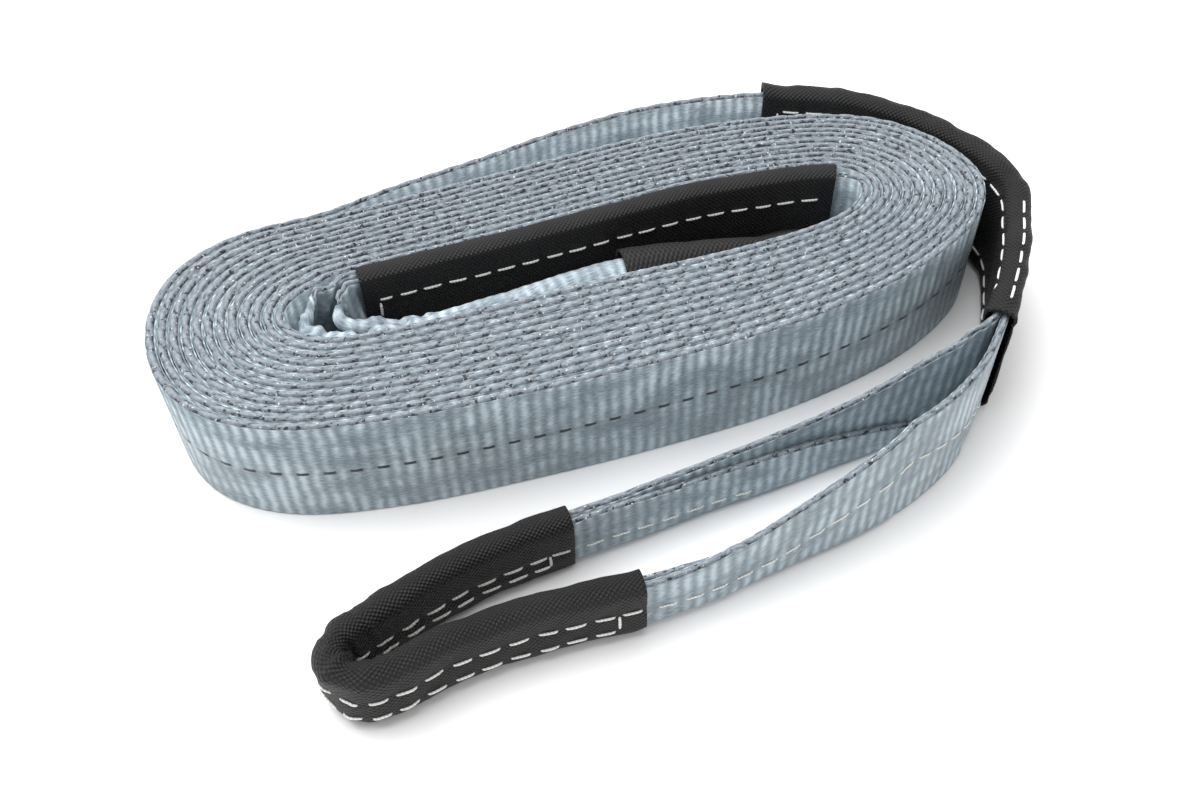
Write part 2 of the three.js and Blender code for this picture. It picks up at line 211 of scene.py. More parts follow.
def gridMesh(name, grid, uAt, vAt, material, values=None, flip=False, wrap=False):
    # grid is rows x ring x 3 in millimetres; quads join each row to the next and run round the ring. The
    # two end rows get a fan each, or with wrap the last row joins the first. UV is (uAt, vAt) in metres,
    # vAt having one value more than the ring.
    rows, ring = grid.shape[:2]
    i, j = np.meshgrid(np.arange(rows if wrap else rows - 1), np.arange(ring), indexing="ij")
    iNext = (i + 1) % rows
    jNext = (j + 1) % ring
    quads = np.stack([i * ring + j, iNext * ring + j, iNext * ring + jNext, i * ring + jNext], -1)
    corners = [(i, j), (iNext, j), (iNext, j + 1), (i, j + 1)]
    uv = np.stack([np.stack([uAt[a], vAt[b]], -1) for a, b in corners], -2).reshape(-1, 4, 2)
    quads = quads.reshape(-1, 4)
    if flip:
        quads, uv = quads[:, ::-1], uv[:, ::-1]
    loops = [quads.reshape(-1)]
    sizes = [np.full(len(quads), 4)]
    uvs = [uv.reshape(-1, 2)]
    for last in () if wrap else (False, True):
        fan = np.arange(ring) + ((rows - 1) * ring if last else 0)
        loops.append(fan if last == flip else fan[::-1])
        sizes.append(np.array([ring]))
        uvs.append(np.zeros((ring, 2)) + [uAt[-1 if last else 0], 0])
    loops, sizes, uvs = np.concatenate(loops), np.concatenate(sizes), np.concatenate(uvs)
    points = place(grid.reshape(-1, 3))
    mesh = bpy.data.meshes.new(name)
    mesh.vertices.add(len(points))
    mesh.vertices.foreach_set("co", points.astype(np.float32).ravel())
    mesh.loops.add(len(loops))
    mesh.loops.foreach_set("vertex_index", loops.astype(np.int32))
    mesh.polygons.add(len(sizes))
    mesh.polygons.foreach_set("loop_start", np.concatenate([[0], np.cumsum(sizes)[:-1]]).astype(np.int32))
    mesh.polygons.foreach_set("use_smooth", sizes == 4)
    layer = mesh.uv_layers.new(name="UVMap")
    layer.data.foreach_set("uv", uvs.astype(np.float32).ravel())
    for key, value in (values or {}).items():
        attribute = mesh.attributes.new(key, "FLOAT", "POINT")
        attribute.data.foreach_set("value", value.astype(np.float32).ravel())
    mesh.update(calc_edges=True)
    mesh.validate()
    piece = bpy.data.objects.new(name, mesh)
    bpy.context.scene.collection.objects.link(piece)
    mesh.materials.append(material)
    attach(piece, "root")
    return piece


# Materials


class Nodes:
    # short forms for one material's nodes; a plain number or a socket may be given for any input
    def __init__(self, name):
        self.material = bpy.data.materials.new(name)
        self.material.use_nodes = True
        self.tree = self.material.node_tree
        self.shader = self.tree.nodes["Principled BSDF"]

    def feed(self, socket, value):
        if isinstance(value, bpy.types.NodeSocket):
            self.tree.links.new(value, socket)
        else:
            socket.default_value = value

    def math(self, kind, a, b=0.0, c=0.0):
        node = self.tree.nodes.new("ShaderNodeMath")
        node.operation = kind
        for socket, value in zip(node.inputs, (a, b, c)):
            self.feed(socket, value)
        return node.outputs[0]

    def uv(self):
        node = self.tree.nodes.new("ShaderNodeUVMap")
        node.uv_map = "UVMap"
        split = self.tree.nodes.new("ShaderNodeSeparateXYZ")
        self.tree.links.new(node.outputs[0], split.inputs[0])
        return split.outputs[0], split.outputs[1]

    def point(self, x, y, z=0.0):
        node = self.tree.nodes.new("ShaderNodeCombineXYZ")
        for socket, value in zip(node.inputs, (x, y, z)):
            self.feed(socket, value)
        return node.outputs[0]

    def noise(self, vector, scale, detail=2.0):
        node = self.tree.nodes.new("ShaderNodeTexNoise")
        self.feed(node.inputs["Vector"], vector)
        node.inputs["Scale"].default_value = scale
        node.inputs["Detail"].default_value = detail
        return node.outputs["Fac"]

    def cloud(self, u, v, along, across, shift, detail):
        # noise with that many features in a metre along the cloth and across it
        point = self.point(self.math("MULTIPLY", u, along), self.math("MULTIPLY", v, across), shift)
        return self.noise(point, 1.0, detail)

    def sway(self, value, size):
        # (value - 0.5) x size, so that noise goes both ways
        return self.math("MULTIPLY", self.math("SUBTRACT", value, 0.5), size)

    def wave(self, kind, value, pitch):
        # sine or cosine with one period in each pitch
        return self.math(kind, self.math("MULTIPLY", value, 2 * math.pi / pitch))

    def attribute(self, name):
        node = self.tree.nodes.new("ShaderNodeAttribute")
        node.attribute_name = name
        return node.outputs["Fac"]

    def mix(self, share, a, b):
        node = self.tree.nodes.new("ShaderNodeMix")
        node.data_type = "RGBA"
        self.feed(node.inputs[0], share)
        self.feed(node.inputs[6], a)
        self.feed(node.inputs[7], b)
        return node.outputs[2]

    def ramp(self, value, low, high, out0=0.0, out1=1.0):
        node = self.tree.nodes.new("ShaderNodeMapRange")
        node.interpolation_type = "SMOOTHSTEP"
        for socket, number in zip(node.inputs, (value, low, high, out0, out1)):
            self.feed(socket, number)
        return node.outputs[0]

    def bump(self, height, distance, strength=1.0, below=None):
        node = self.tree.nodes.new("ShaderNodeBump")
        node.inputs["Strength"].default_value = strength
        node.inputs["Distance"].default_value = distance
        self.feed(node.inputs["Height"], height)
        if below is not None:
            self.feed(node.inputs["Normal"], below)
        return node.outputs[0]


web = {
    "width": 50.0,
    "betweenEdges": 48.4,  # width less the rise of the two rows of edge loops
    "edgeRise": 0.7,
    "thickness": 2.9,
    "gap": 0.4,  # between one turn of the coil and the next
    "turns": 12,
    "eyeSlack": 0.05,  # taken off half the thickness in the eyes
    "ribPitch": 4.62,
    "ribBend": 2.4,
    "padPitch": 9.24,  # of the loops along the woven edge, and of the marker thread
    "rowStep": 0.924,
    "ribDepth": 0.14,
    "markerAt": 25.2,  # from the top edge, on the outer face
    "face": (0.303, 0.369, 0.412, 1),
    # darker and lighter face colours: the yarns' own tone, with painted shade and painted light of the ribs
    "faceToneAndRibShade": (0.164, 0.209, 0.243, 1),
    "faceToneAndRibLight": (0.491, 0.575, 0.628, 1),
    "edgeMiddle": (0.147, 0.172, 0.199, 1),
    "edgeLight": (0.235, 0.265, 0.299, 1),
    # painted glints on single threads of the woven edge
    "edgeGlint": (0.56, 0.59, 0.61, 1),
    # painted shade of low loops and pinholes in the woven edge
    "edgeShade": (0.012, 0.016, 0.022, 1),
    "marker": (0.008, 0.009, 0.011, 1),
}


# features in a metre along and across the web, the noise's shift and its detail
webNoise = {
    "bend": (90.0, 130.0, 0.0, 2.0),
    "streak": (60.0, 1500.0, 0.0, 3.0),
    "fine": (420.0, 2600.0, 3.0, 2.0),
    "patch": (38.0, 90.0, 7.0, 3.0),
    "speck": (700.0, 1100.0, 5.0, 2.0),
    "hole": (420.0, 640.0, 9.0, 1.0),
    "glint": (900.0, 1200.0, 11.0, 1.0),
}


def webMaterial():
    n = Nodes("webbing")
    u, v = n.uv()
    edge = n.attribute("edge")
    cloud = {key: n.cloud(u, v, *numbers) for key, numbers in webNoise.items()}
    # the ribs' wave in the colour below is painted shade and painted light of the ribs; in the bump it is
    # relief
    # ribs: a wave along the web, bent a little by noise and stronger in some places than in others
    bent = n.math("ADD", u, n.sway(cloud["bend"], web["ribBend"] * mm))
    rib = n.math("MULTIPLY_ADD", n.wave("COSINE", bent, web["ribPitch"] * mm), 0.5, 0.5)
    ribShadeShare = n.ramp(cloud["patch"], 0.34, 0.66, 0.15, 0.85)
    # warp yarns: narrow lengthwise streaks, added to the painted shade and light of the ribs
    ribShadeAndTone = n.math("ADD", n.math("MULTIPLY", rib, ribShadeShare), n.math("MULTIPLY", cloud["streak"], 0.6))
    ribShadeAndTone = n.math("ADD", ribShadeAndTone, n.sway(cloud["fine"], 1.5))
    ribShadeAndTone = n.math("ADD", ribShadeAndTone, n.sway(cloud["patch"], 0.5))
    # face colour: painted rib shade and rib light, with the yarns' own streaks and patches
    face = n.mix(n.ramp(ribShadeAndTone, 0.15, 0.62), web["faceToneAndRibShade"], web["face"])
    face = n.mix(n.ramp(ribShadeAndTone, 0.6, 1.15), face, web["faceToneAndRibLight"])
    # woven edge: painted shade where loops are low and in pinholes; painted glints on single threads
    # loop height with random specks: the low loops get painted shade
    loopShadeAndSpeck = n.math("ADD", edge, n.sway(cloud["speck"], 1.5))
    loops = n.mix(n.ramp(loopShadeAndSpeck, 1.0, 1.4), web["edgeShade"], web["edgeMiddle"])
    loops = n.mix(n.ramp(loopShadeAndSpeck, 1.5, 2.1), loops, web["edgeLight"])
    loops = n.mix(n.ramp(cloud["hole"], 0.3, 0.37), web["edgeShade"], loops)
    # painted glints where this noise is highest
    loops = n.mix(n.ramp(cloud["glint"], 0.66, 0.74), loops, web["edgeGlint"])
    colour = n.mix(n.ramp(edge, 0.85, 1.0), face, loops)
    # marker thread: one black stitch for every second rib
    off = n.math("ABSOLUTE", n.math("SUBTRACT", v, web["markerAt"] * mm))
    along = n.math("FRACT", n.math("DIVIDE", u, web["padPitch"] * mm))
    fromMiddle = n.math("ABSOLUTE", n.math("SUBTRACT", along, 0.5))
    dash = n.math("MULTIPLY", n.ramp(fromMiddle, 0.2, 0.26, 1.0, 0.15), n.ramp(off, 0.0006, 0.0009, 1.0, 0.0))
    colour = n.mix(n.math("MULTIPLY", dash, n.attribute("marked")), colour, web["marker"])
    n.feed(n.shader.inputs["Base Color"], colour)
    n.shader.inputs["Roughness"].default_value = 0.52
    n.shader.inputs["Specular IOR Level"].default_value = 0.42
    n.shader.inputs["Sheen Weight"].default_value = 0.12
    yarn = n.math("ADD", n.math("MULTIPLY", cloud["streak"], 0.5), n.math("MULTIPLY", cloud["fine"], 0.5))
    low = n.bump(rib, 0.0004, 0.8)
    n.feed(n.shader.inputs["Normal"], n.bump(yarn, 0.0006, 0.8, low))
    return n.material


sleeveCloth = {
    "yarnPitch": 1.9,  # of a pair of yarns
    "colour": (0.0028, 0.0027, 0.0029, 1),
    "lit": (0.017, 0.0163, 0.0168, 1),
    "thread": (0.86, 0.85, 0.82, 1),
    "threadDark": (0.7, 0.69, 0.66, 1),
}


def sleeveMaterial():
    n = Nodes("sleeve cloth")
    u, v = n.uv()
    # basket weave: the product of two crossed waves, (sine x sine + 1) / 2
    pitch = sleeveCloth["yarnPitch"] * mm
    wander = n.sway(n.cloud(u, v, 160.0, 160.0, 0.0, 2.0), 0.0006)
    lengthwise = n.wave("SINE", n.math("ADD", u, wander), pitch)
    crosswise = n.wave("SINE", n.math("SUBTRACT", v, wander), pitch)
    weave = n.math("MULTIPLY_ADD", n.math("MULTIPLY", lengthwise, crosswise), 0.5, 0.5)
    grain = n.cloud(u, v, 1900.0, 1900.0, 0.0, 2.0)
    broad = n.cloud(u, v, 45.0, 45.0, 2.0, 3.0)
    lift = n.math("ADD", n.math("MULTIPLY", weave, 0.7), n.math("MULTIPLY", grain, 0.5))
    lift = n.math("ADD", lift, n.sway(broad, 0.5))
    colour = n.mix(n.ramp(lift, 0.35, 0.95), sleeveCloth["colour"], sleeveCloth["lit"])
    n.feed(n.shader.inputs["Base Color"], colour)
    n.feed(n.shader.inputs["Roughness"], n.ramp(grain, 0.3, 0.7, 0.5, 0.68))
    n.shader.inputs["Specular IOR Level"].default_value = 0.28
    n.shader.inputs["Sheen Weight"].default_value = 0.02
    height = n.math("ADD", n.math("MULTIPLY", weave, 0.8), n.math("MULTIPLY", grain, 0.3))
    n.feed(n.shader.inputs["Normal"], n.bump(height, 0.0007, 0.9))
    return n.material


def threadMaterial():
    n = Nodes("sewing thread")
    u, v = n.uv()
    twist = n.math("SINE", n.math("ADD", n.math("MULTIPLY", u, 2 * math.pi / 0.0011),
                                  n.math("MULTIPLY", v, 2 * math.pi / 0.003)))
    colour = n.mix(n.ramp(twist, -1.0, 0.4), sleeveCloth["threadDark"], sleeveCloth["thread"])
    n.feed(n.shader.inputs["Base Color"], colour)
    n.shader.inputs["Roughness"].default_value = 0.6
    n.feed(n.shader.inputs["Normal"], n.bump(twist, 0.00012, 0.8))
    return n.material


webFinish = webMaterial()
sleeveFinish = sleeveMaterial()
threadFinish = threadMaterial()
print("materials made")


# Routes of the web, in plan

# innermost turn of the coil, anticlockwise from the back left: x, y, the direction in degrees in which
# the turns outside it lie, and the room that each turn has beyond its thickness
coreStations = np.array([
    (-86, 17.3, 100, 0.1), (-99, 14.5, 128, 0.85), (-109, 9.5, 146, 1.24), (-114, 3, 166, 1.25),
    (-114, -4, 190, 1.2), (-108.5, -11, 211, 1.18), (-97, -16.5, 232, 0.92), (-72, -18.6, 251, 0.8),
    (-36, -18.5, 264, 0.86), (8, -18, 273, 0.92), (50, -18, 284, 0.8), (82, -15.8, 305, 0.76),
    (101, -11.5, 326, 0.96), (110.5, -5.5, 341, 1.2), (114.3, 0.5, 358, 1.15), (113.3, 7.2, 382, 0.7),
    (105, 14, 407, 0.4), (84, 18.4, 432, 0.3), (41, 21.7, 444, 0.35), (-22.5, 19, 454, 0.32)])
route = {
    "driftStart": 0.8,  # share of a turn after which the web moves in to the next one
    "sleeveWall": 1.0,
    "sleeveClearance": 0.35,
    "layerPitch": 3.05,  # between the middles of the two layers that a splice sews together
    "outerSpliceFirst": 7,  # place in the tail's points where the outer splice starts
    "easeSpan": 1.2,
    "innerSpliceStart": 11.795,
    "innerSpliceEnd": 11.998,
    "innerSpliceEase": 0.06,
    "hiddenEnd": 9,  # rows of the main strip left to the eye's strip, inside each splice
    "mainOverlap": 8,  # of the eye's strip along the main layer
    "returnedShort": 6,  # left free at the end of the returned layer
}
# tail along the back of the coil: turn of the coil beside it, and distance from that turn's middle
tailStops = np.array([
    (0.975, 7.7), (0.95, 11.3), (0.925, 15.8), (0.9, 18), (0.875, 17.6), (0.85, 16), (0.825, 13), (0.8, 10),
    (0.775, 8), (0.75, 7.2), (0.725, 7.4), (0.7, 9.3), (0.67, 13)])
# the splice leaves the coil and ends at its mouth: steps from the coil's right shoulder
shoulderTurn = 0.65
spliceSteps = np.array([(7.5, -16), (-3, -33), (-14, -47.5), (-23.5, -58.5)])
# outer eye, as steps from the mouth along the front leg, round the tip and back, with the web's height
outerEye = np.array([
    (-6, -8.5, 50), (-17, -18.5, 50), (-34, -28.5, 49), (-51, -34.8, 47), (-72, -40.3, 42),
    (-92, -44, 36), (-112, -47.6, 31), (-130, -50.3, 28), (-150, -51.2, 26.5), (-175, -50.1, 26.5),
    (-200, -50.4, 26.5), (-218, -52.5, 26.5), (-232, -56.3, 26.5), (-242, -57, 26.5),
    (-249.5, -52.5, 26.5), (-251.5, -46, 26.5), (-247, -40.2, 26.5), (-237, -35.8, 26.5),
    (-225, -31.5, 26.5), (-212, -27.2, 26.5), (-197, -23.5, 26.5), (-180, -21, 26.5), (-166, -19.8, 26.5),
    (-150, -18.5, 26.5), (-130, -16.5, 27), (-110, -14.5, 28), (-90, -12.5, 29), (-70, -10.5, 31),
    (-50, -8.5, 35), (-30, -6, 41), (-14, -4, 47)], float)
# inner eye, in the bore: round its left end, along its front, round the eye's tip and back, with the
# web's height and the radius of its fold, which lies open like an arch where the eye's sleeve starts
innerEye = np.array([
    (-92, 11.5, 49, 0), (-101.5, 6.5, 48, 0.4), (-105.5, -0.5, 46, 0.8), (-101.5, -8, 46, 1),
    (-90, -12.2, 47, 1.2), (-70, -14, 48, 1.4), (-36, -12, 48.5, 3.4), (-8, -8.7, 49, 6.6),
    (12, -8.0, 48.5, 7.1), (45, -11.0, 47.5, 3.8), (68, -12.6, 45, 1.9), (86, -8.4, 40, 1.6),
    (91, -3, 34, 1.6), (86, 1.4, 31, 1.6), (72, 3, 30, 1.6), (45, 3, 30, 1.6), (12, 2.6, 30, 1.6),
    (-8, 0.0, 31, 1.6), (-36, -4.2, 35, 1.6), (-66, -6.4, 41, 1.5), (-84, -6.2, 45, 1.2),
    (-93, -2.6, 46, 0.8), (-94.4, 2.2, 47, 0.4), (-89, 6.4, 49, 0)], float)


def outAt(u):
    # step from one turn to the next one out: pitch in the station's direction
    angle = np.radians(coreStations[:, 2])
    pitch = web["thickness"] + coreStations[:, 3]
    return closedSpline(np.column_stack([np.cos(angle), np.sin(angle)]) * pitch[:, None], u)


def onCoil(turn):
    # middle of a wound turn = innermost turn + number of turns outside it x the step between turns
    turn = np.atleast_1d(np.asarray(turn, float))
    around = turn - np.floor(turn)
    drift = smooth((around - route["driftStart"]) / (1 - route["driftStart"]))
    outward = web["turns"] - 1 - np.floor(turn) - drift
    return closedSpline(coreStations[:, :2], around) + outAt(around) * outward[:, None]


def inwardAt(turn):
    turn = np.atleast_1d(np.asarray(turn, float))
    near = 0.005
    run = onCoil(turn + near) - onCoil(turn - near)
    run /= np.linalg.norm(run, axis=1)[:, None]
    return np.column_stack([-run[:, 1], run[:, 0]])


def coilPoint(turn, inward):
    return onCoil(turn) + inwardAt(turn) * np.reshape(inward, (-1, 1))


def coilHalf(turn):
    turn = np.atleast_1d(np.asarray(turn, float))
    across = (outAt(turn - np.floor(turn)) * inwardAt(turn)).sum(1)
    return (-across - web["gap"]) / 2


webHalf = web["thickness"] / 2
sleeveLift = route["sleeveWall"] + route["sleeveClearance"]


def tailSpine():
    # columns: x, y, share inside the splice; from the coil to the mouth
    turn = np.concatenate([[0.05, 0.0], tailStops[:, 0]])
    away = np.concatenate([[0.0, 0.0], tailStops[:, 1]])
    points = np.vstack([coilPoint(turn, -away), coilPoint(shoulderTurn, 0.0) + spliceSteps])
    rows = openSpline(points)
    rows = rows[rows[:, 2] >= 1]
    inside = smooth((rows[:, 2] - route["outerSpliceFirst"] + route["easeSpan"]) / route["easeSpan"])
    return np.column_stack([rows[:, :2], inside]), rows[:, 2] >= route["outerSpliceFirst"]


def innerRoutes():
    # columns: x, y, low, half thickness of the main layer, and x, y of the splice's spine
    turn = np.linspace(route["innerSpliceStart"] - route["innerSpliceEase"], route["innerSpliceEnd"], 700)
    inside = smooth((turn - turn[0]) / route["innerSpliceEase"])
    face = coilHalf(turn - 1)
    plain = face + web["gap"] + coilHalf(turn)
    away = face + route["sleeveWall"] + 2 * route["sleeveClearance"] + webHalf
    main = coilPoint(turn - 1, plain + (away - plain) * inside)
    half = coilHalf(turn) + (webHalf - coilHalf(turn)) * inside
    spine = coilPoint(turn - 1, away + route["layerPitch"] / 2)
    return np.column_stack([main, sleeveLift * inside, half]), spine[turn >= route["innerSpliceStart"]]


tail, inSplice = tailSpine()
tailLeft = sideways(tail[:, :2])
outerSpine = tail[inSplice, :2]
mainInTail = tail[:, :2] + tailLeft * (route["layerPitch"] / 2 * tail[:, 2:])
returnedOuter = (tail[:, :2] - tailLeft * route["layerPitch"] / 2)[inSplice]
innerMain, innerSpine = innerRoutes()
returnedInner = innerSpine + sideways(innerSpine) * route["layerPitch"] / 2


def mainRoute():
    # columns: x, y, lift off the floor, half thickness; from the outer splice's mouth to the inner eye
    lifted = sleeveLift * tail[:, 2]
    outside = np.column_stack([mainInTail, lifted, np.full(len(tail), webHalf)])[::-1]
    turn = np.linspace(0, route["innerSpliceStart"] - route["innerSpliceEase"], 24000)[1:-1]
    wound = np.column_stack([onCoil(turn), np.zeros(len(turn)), coilHalf(turn)])
    return evenRows(np.vstack([outside, wound, innerMain]), web["rowStep"])


# The woven edge, and strips of web


edgeLoops = {
    "slant": 0.5,  # steps across the edge for each pitch along it
    "long": (0.0, 0.52, -0.18, 0.74),  # middle and half size along, in pitches, then across the edge
    "short": (-0.5, 0.3, 0.62, 0.38),
    "shortHeight": 0.72,
    "wobble": 0.14,
    "rise": 0.85,
    "sink": 0.2,
    "plainHeight": 0.8,  # where an edge has no loops
    "pull": 0.1,  # by which a side is drawn in between loops
    "pullFrom": 0.7,
}
# places across the edge, from one face (-1) to the other (1): with loops, and plain
capSteps = np.array([-0.82, -0.56, -0.28, 0.0, 0.28, 0.56, 0.82])
capPlain = np.array([-0.6, 0.0, 0.6])


def oneLoop(a, c, wobble, shape):
    # 1 - (distance along / half length)^2 - (distance across / half width)^2
    along, halfLength, across, halfWidth = shape
    aslant = c - edgeLoops["slant"] * a - across - wobble
    return 1 - ((a - along) / halfLength)**2 - (aslant / halfWidth)**2


def padHeight(s, c, phase):
    # height of the woven edge, 0 to 1: the highest of the loops near the place, long and short ones
    # lying aslant across the edge from its outer side (c = -1) to its inner side (c = 1)
    p = edgeLoops
    pitches = s / web["padPitch"] + phase
    best = np.zeros(np.broadcast(s, c).shape)
    for shift in (-1, 0, 1):
        a = pitches - np.floor(pitches) - 0.5 + shift
        number = np.floor(pitches) - shift
        wobble = p["wobble"] * np.sin(number * 2.39) * np.cos(number * 0.77)
        best = np.maximum(best, oneLoop(a, c, wobble, p["long"]))
        best = np.maximum(best, p["shortHeight"] * oneLoop(a, c, -wobble, p["short"]))
    return np.sqrt(best)


def stripSection(centre, half, s, phase, footPads):
    # centre: rows x points x (towards side A, up), from the top edge to the other one. The ring runs
    # down side A, round the far edge, up side B and over the top edge; side A is the centre line moved
    # out by the half thickness along its normal, less the rib's wave, depth x (1 - cosine) / 2.
    run = np.gradient(centre, axis=1)
    run /= np.linalg.norm(run, axis=2)[..., None]
    normal = np.stack([-run[..., 1], run[..., 0]], -1)
    ribs = web["ribDepth"] * (0.5 - 0.5 * np.cos(2 * np.pi * s / web["ribPitch"]))
    thick = (half - ribs)[:, None, None]
    sideA = centre + normal * thick
    sideB = centre - normal * thick

    def edge(index, across, sign, pads):
        # edge loops stand on a low dome; each side is drawn in where no loop reaches it
        c = across[None, :]
        p = edgeLoops
        height = np.full((len(s), len(across)), p["plainHeight"])
        if pads:
            height = padHeight(s[:, None], c, phase)
        dome = p["rise"] * (1 - np.abs(c)**3) - p["sink"]
        rise = dome + p["rise"] * (height - 0.5)
        pull = 1 - p["pull"] * (1 - height) * (np.abs(c) > p["pullFrom"])
        base = centre[:, index][:, None, :]
        out = run[:, index][:, None, :] * sign
        sidewise = -normal[:, index][:, None, :] * (c * pull * half[:, None])[..., None]
        return base + sidewise + out * rise[..., None], height

    foot, footHeight = edge(-1, capSteps if footPads else capPlain, 1, footPads)
    top, topHeight = edge(0, -capSteps, -1, True)
    ring = np.concatenate([sideA, foot, sideB[:, ::-1], top], 1)
    zeros = np.zeros((len(s), centre.shape[1]))
    # edge: 1 + loop height on the edges, which the material turns into painted shade where the loops are low
    edges = np.concatenate([zeros, 1 + footHeight, zeros, 1 + topHeight], 1)
    return ring, edges


def stripAcross(points, foot):
    # distance round the strip from the top of side A, for the UV map
    w = web["width"]
    down = np.linspace(0, w, points)
    count = len(capSteps) if foot else len(capPlain)
    under = w + np.linspace(0, 3, count + 2)[1:-1]
    over = 2 * w + 3 + np.linspace(0, 3, len(capSteps) + 2)[1:-1]
    return np.concatenate([down, under, w + 3 + down, over, [2 * w + 6]]) * mm


def addStrip(name, xy, centre, half, s, phase=0.0, sideALeft=False, footPads=False, marked=0.0):
    # sideALeft says on which side of the path's way side A lies
    ring, edges = stripSection(centre, half, s, phase, footPads)
    section = ring * (1 if sideALeft else -1, 1)
    grid = standUp(xy, sideways(xy), section)
    marks = np.zeros(edges.shape)
    marks[:, :centre.shape[1]] = marked
    across = stripAcross(centre.shape[1], footPads)
    piece = gridMesh(name, grid, s * mm, across, webFinish, {"edge": edges, "marked": marks},
                     flip=not sideALeft)
    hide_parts("webbing")
    return {"grid": grid, "s": s}


mainStrip = {
    "topDrop": 0.85,  # of the middle of the edge loops below the full width
    "coveredDrop": 0.9,  # inside a sleeve
    "footDrop": 0.55,
    "heightWander": 0.45,
    "wanderLength": 830,
    "measuredFrom": 1000.0,  # length at which the strip's own measure starts
    "spareGap": 0.35,
    "sidePoints": 3,
    "pieces": 3,
}


def addMainStrip():
    rows = mainRoute()[route["hiddenEnd"]:-route["hiddenEnd"]]
    p = mainStrip
    s = lengthsOf(rows) + p["measuredFrom"]
    covered = rows[:, 2] / sleeveLift
    top = web["width"] - p["topDrop"] - p["coveredDrop"] * covered
    top = top + p["heightWander"] * ripple(s, 3, p["wanderLength"]) * (1 - covered)
    low = rows[:, 2] + p["footDrop"]
    share = np.linspace(0, 1, p["sidePoints"])
    z = top[:, None] + (low - top)[:, None] * share
    centre = np.stack([np.zeros_like(z), z], -1)
    half = rows[:, 3] + (web["gap"] - p["spareGap"]) / 2
    cuts = np.linspace(0, len(rows) - 1, p["pieces"] + 1).astype(int)
    for number, (first, last) in enumerate(zip(cuts[:-1], cuts[1:])):
        part = slice(first, last + 1)
        addStrip(f"web_turns_{number + 1}", rows[part, :2], centre[part], half[part], s[part], marked=1.0)


addMainStrip()
print("main strip made")


# Legs of the eyes, folded along their middle


def walked(angle, step):
    # places (to the left, up) on a line of equal steps that leans by the angle from straight up
    middle = (angle[:, 1:] + angle[:, :-1]) / 2
    start = np.zeros((len(angle), 1))
    a = np.concatenate([start, np.cumsum(-np.sin(middle) * step, 1)], 1)
    z = np.concatenate([start, np.cumsum(np.cos(middle) * step, 1)], 1)
    return a, z


def joinLayers(main, eye, returned):
    # the eye's rows between the end of the main layer and the returned layer, both at full height
    run = lengthsOf(main)
    before = main[run > run[-1] - route["mainOverlap"]][:-1]
    after = returned[::-1][1:]
    run = lengthsOf(after)
    after = after[run < run[-1] - route["returnedShort"]]
    inSleeve = [web["width"] + sleeveLift, sleeveLift, 0.0][:eye.shape[1] - 2]
    full = [np.column_stack([xy, np.tile(inSleeve, (len(xy), 1))]) for xy in (before, after)]
    return evenRows(np.vstack([full[0], eye, full[1]]), web["rowStep"])


foldedLeg = {
    "points": 41,
    "bend": 1.55,  # radius of the fold, to the middle of the web
    "openAbove": 44.0,  # height from which the fold slides off the web's lower edge
    "openSpan": 6.0,
    "slideOff": 8.0,
    "footRoom": 0.1,
    "lift": 0.9,  # off the floor, inside the eye's sleeve
    "squeeze": 0.035,  # of the height, inside a sleeve
    "edgeDrop": 0.6,  # of the strip's top below the row's
    "spliceDrop": 2.6,  # the same inside the splice, which is where the top is above spliceFrom
    "spliceFrom": 50.2,
    "spliceSpan": 1.1,
    "wander": 0.4,
    "lean": 3.0,  # degrees
}


def foldedCentre(top, low, leanAt):
    # the web runs down from its top edge, turns through half a circle at the fold and comes up again on
    # the inner side: direction angle = pi x smooth((v - fold) / (pi x bend)); its lowest point is on low
    p = foldedLeg
    height = top - low
    fold = height - p["bend"] - webHalf
    fold = fold + p["slideOff"] * smooth((height - p["openAbove"]) / p["openSpan"])
    fold = np.maximum(fold, (web["betweenEdges"] - np.pi * p["bend"]) / 2)
    v = np.linspace(0, web["betweenEdges"], p["points"])
    angle = np.pi * smooth((v[None, :] - fold[:, None]) / (np.pi * p["bend"]))
    angle = angle + np.radians(leanAt)[:, None]
    a, up = walked(angle, v[1] - v[0])
    z = -up
    turned = smooth(-a.min(1) / p["bend"])
    a -= (a.min(1) / 2)[:, None]
    foot = low + web["edgeRise"] + (webHalf - web["edgeRise"]) * turned + p["footRoom"]
    z = foot[:, None] + (z - z.min(1)[:, None]) * (1 - p["squeeze"] * (low / sleeveLift))[:, None]
    return np.stack([a, z], -1)


def outerEyeRoute():
    # columns: x, y, top, low; from inside the mouth round the eye, and on along the returned layer
    mouth = outerSpine[-1]
    start, end = mainInTail[-1], returnedOuter[-1]
    covered = np.zeros(len(outerEye))
    covered[7:24] = foldedLeg["lift"]
    covered[[0, -1]] = sleeveLift
    w = web["width"] + sleeveLift
    stops = np.column_stack([mouth + outerEye[:, :2], outerEye[:, 2], covered])
    eye = openSpline(np.vstack([[*start, w, sleeveLift], stops, [*end, w, sleeveLift]]))[:, :4]
    return joinLayers(mainInTail, eye, returnedOuter)


def addOuterEye():
    rows = outerEyeRoute()
    s = lengthsOf(rows)
    p = foldedLeg
    top = rows[:, 2] - p["edgeDrop"] + p["wander"] * ripple(s, 8, 160)
    top = top - p["spliceDrop"] * smooth((rows[:, 2] - p["spliceFrom"]) / p["spliceSpan"])
    onFloor = rows[:, 3] < 0.2
    centre = foldedCentre(top, rows[:, 3], p["lean"] * ripple(s, 2, 190) * onFloor)
    half = np.full(len(rows), webHalf - web["eyeSlack"])
    surface = addStrip("web_outer_eye", rows[:, :2], centre, half, s, 0.3, sideALeft=True, footPads=True)
    return rows, surface


outerRows, outerWeb = addOuterEye()
print("outer eye made")

